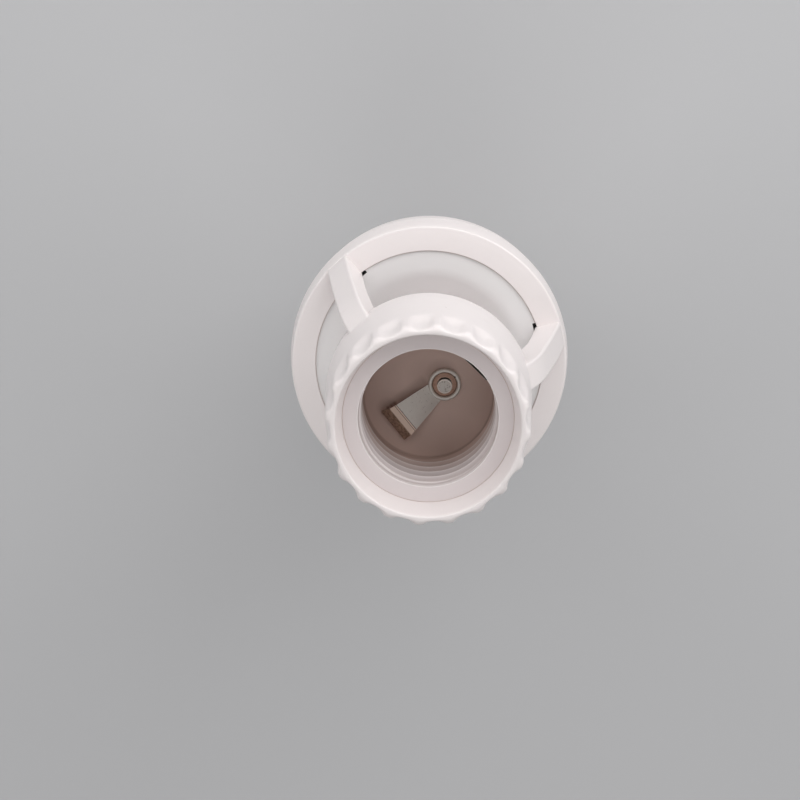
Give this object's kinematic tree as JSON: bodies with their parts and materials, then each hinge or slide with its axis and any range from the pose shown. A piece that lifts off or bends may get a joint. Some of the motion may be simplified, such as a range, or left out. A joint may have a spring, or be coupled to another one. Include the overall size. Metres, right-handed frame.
{
  "type": "lamp holder",
  "caption": "Screw-in lamp holder with a ring-shaped motion sensor window behind a fluted Edison screw socket.",
  "frame": {"origin": "tip of the cap's centre contact, on the axis", "axes": "+Z along the common axis of cap, housing and socket, out of the socket's mouth; +X through one arm and one flute crest"},
  "size_m": [0.0564, 0.0564, 0.114],
  "materials": {
    "white_housing": "satin white moulding",
    "milky_window": "milky white film-like plastic",
    "white_insert": "satin white moulding",
    "nickel_plate": "nickel-plated sheet",
    "dark_insulator": "dark moulding",
    "solder_tin": "tinned brass",
    "contact_plate": "nickel-plated brass, slightly tarnished",
    "zinc_screw": "zinc-plated",
    "board_laminate": "green solder mask",
    "sensor_can": "plated can",
    "black_part": "black moulded",
    "film_part": "dark red dipped",
    "brown_lead": "insulated wire",
    "blue_lead": "insulated wire"
  },
  "bodies": {
    "holder": {"front_housing": "white_housing", "rear_housing": "white_housing", "lens_ring": "milky_window", "socket_insert": "white_insert", "cap_shell": "nickel_plate", "cap_insulator": "dark_insulator", "cap_contact": "solder_tin", "centre_rivet": "contact_plate", "side_screw": "zinc_screw", "circuit_board": "board_laminate", "board_screws": "zinc_screw", "motion_sensor": "sensor_can", "light_sensor": "black_part", "relay": "black_part", "film_capacitor": "film_part", "electrolytic_capacitor": "black_part", "rectifier": "black_part", "control_chip": "black_part", "live_lead": "brown_lead", "neutral_lead": "blue_lead", "lamp_live_lead": "brown_lead", "lamp_neutral_lead": "blue_lead"},
    "centre_leaf": {"centre_contact": "contact_plate"},
    "side_leaf": {"side_contact": "contact_plate"}
  },
  "joints": [
    {"name": "centre_leaf_flex", "type": "hinge", "parent": "holder", "child": "centre_leaf", "pos_m": [0.001, 0.00001, 0.08672], "axis": [0.4384, -0.8988, 0], "range_deg": [0, 4], "stiffness_Nm_per_rad": 0.02, "deforming": ["centre_contact"]},
    {"name": "side_leaf_flex", "type": "hinge", "parent": "holder", "child": "side_leaf", "pos_m": [0.00991, 0.00483, 0.0866], "axis": [-0.4384, 0.8988, 0], "range_deg": [0, 3], "stiffness_Nm_per_rad": 0.02, "deforming": ["side_contact"]}
  ]
}
